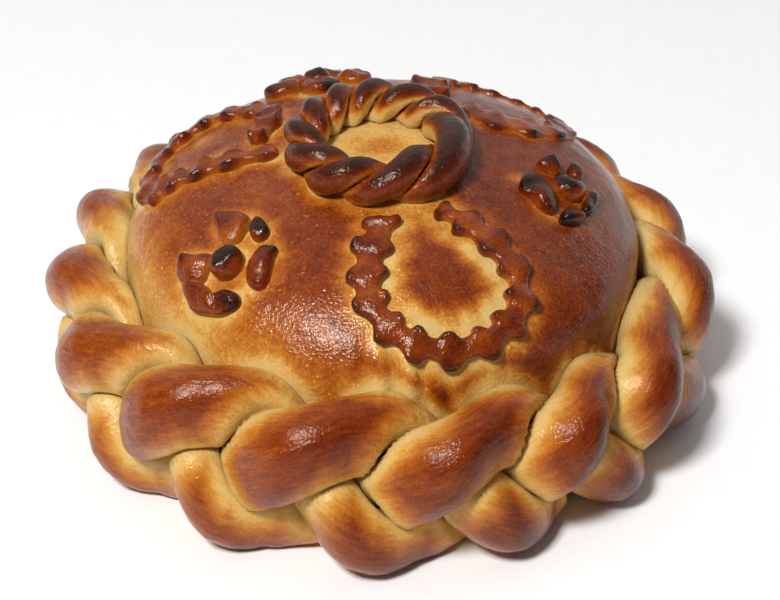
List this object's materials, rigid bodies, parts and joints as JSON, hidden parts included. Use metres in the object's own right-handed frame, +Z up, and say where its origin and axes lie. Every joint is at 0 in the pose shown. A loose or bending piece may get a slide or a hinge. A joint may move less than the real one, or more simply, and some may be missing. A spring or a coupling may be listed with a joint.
{
  "type": "korovai",
  "caption": "Round festive loaf: a high glossy dome inside a fat plait, with a twisted ring, toothed horseshoes and small flowers of dough on top.",
  "frame": {"origin": "the middle of the loaf's flat base, on the surface that it stands on", "axes": "+Z up through the crown; the front, with the largest horseshoe, looks toward -Y; +X to the right"},
  "size_m": [0.2961, 0.2973, 0.1355],
  "materials": {
    "dome_crust": "satin",
    "plait_crust": "satin",
    "ring_crust": "gloss",
    "horseshoe_crust": "gloss",
    "flower_crust": "gloss"
  },
  "bodies": {
    "root": {"loaf": "dome_crust", "plait_strand_1": "plait_crust", "plait_strand_2": "plait_crust", "plait_strand_3": "plait_crust", "ring_strand_1": "ring_crust", "ring_strand_2": "ring_crust", "horseshoe_front": "horseshoe_crust", "horseshoe_left": "horseshoe_crust", "horseshoe_back": "horseshoe_crust", "flower_front_ball": "flower_crust", "flower_front_petal_1": "flower_crust", "flower_front_petal_2": "flower_crust", "flower_front_petal_3": "flower_crust", "flower_front_petal_4": "flower_crust", "flower_front_petal_5": "flower_crust", "flower_right_ball": "flower_crust", "flower_right_petal_1": "flower_crust", "flower_right_petal_2": "flower_crust", "flower_right_petal_3": "flower_crust", "flower_right_petal_4": "flower_crust", "flower_right_petal_5": "flower_crust", "flower_back_ball": "flower_crust", "flower_back_petal_1": "flower_crust", "flower_back_petal_2": "flower_crust", "flower_back_petal_3": "flower_crust", "flower_back_petal_4": "flower_crust", "flower_back_petal_5": "flower_crust"}
  },
  "joints": []
}
